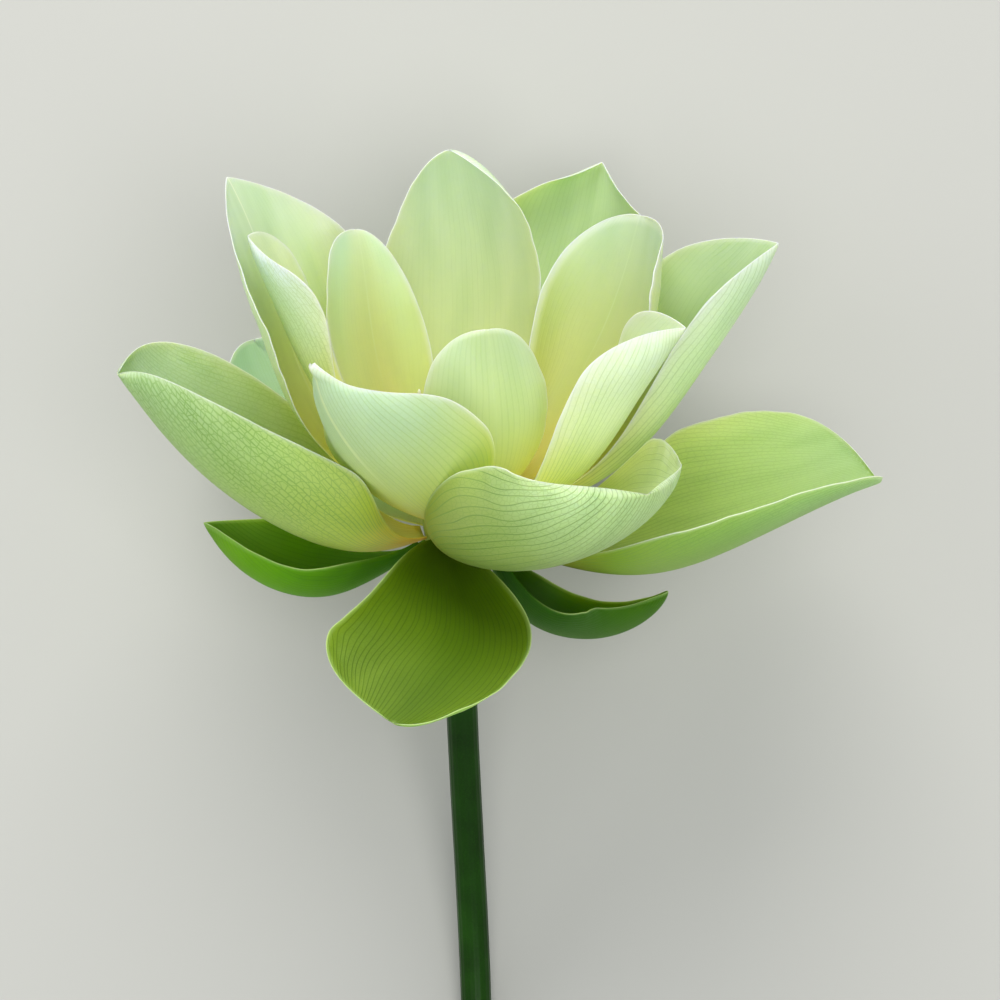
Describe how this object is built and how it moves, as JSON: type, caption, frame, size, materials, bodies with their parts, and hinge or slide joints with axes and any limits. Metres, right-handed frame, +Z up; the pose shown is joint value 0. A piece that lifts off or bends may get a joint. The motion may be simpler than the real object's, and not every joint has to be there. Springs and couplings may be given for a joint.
{
  "type": "lotus flower",
  "caption": "Open lotus flower with layers of cream to green petals round a seed receptacle and stamens, on a short cut stem, lying on its back petals.",
  "frame": {"origin": "middle of the flower's footprint, on the surface that it lies on", "axes": "+Z up from the surface; +Y from the cut end of the stem towards the flower's top; +X to the right of someone who looks down on it with the stem towards them"},
  "size_m": [0.2084, 0.2622, 0.1582],
  "materials": {
    "petal_cream": "satin",
    "petal_cream_green": "satin",
    "petal_pale_green": "satin",
    "petal_green": "satin",
    "sepal_green": "satin",
    "receptacle_yellow": "satin",
    "stamen_yellow": "matte",
    "stem_green": "satin"
  },
  "bodies": {
    "root": {"petal_inner_back_right": "petal_cream", "petal_inner_back_left": "petal_cream", "petal_inner_right": "petal_cream", "petal_inner_front": "petal_cream", "petal_inner_left": "petal_cream", "petal_middle_front_left": "petal_cream", "petal_middle_back": "petal_cream_green", "petal_middle_back_right": "petal_cream_green", "petal_middle_right": "petal_cream_green", "petal_middle_left": "petal_cream_green", "petal_outer_back_left": "petal_cream_green", "petal_outer_back_right": "petal_cream_green", "petal_outer_back": "petal_cream_green", "petal_middle_front_right": "petal_pale_green", "petal_outer_left": "petal_pale_green", "petal_outer_right": "petal_pale_green", "petal_outer_front": "petal_green", "sepal_left": "sepal_green", "sepal_right": "sepal_green", "receptacle": "receptacle_yellow", "stamens": "stamen_yellow", "stem": "stem_green"}
  },
  "joints": []
}
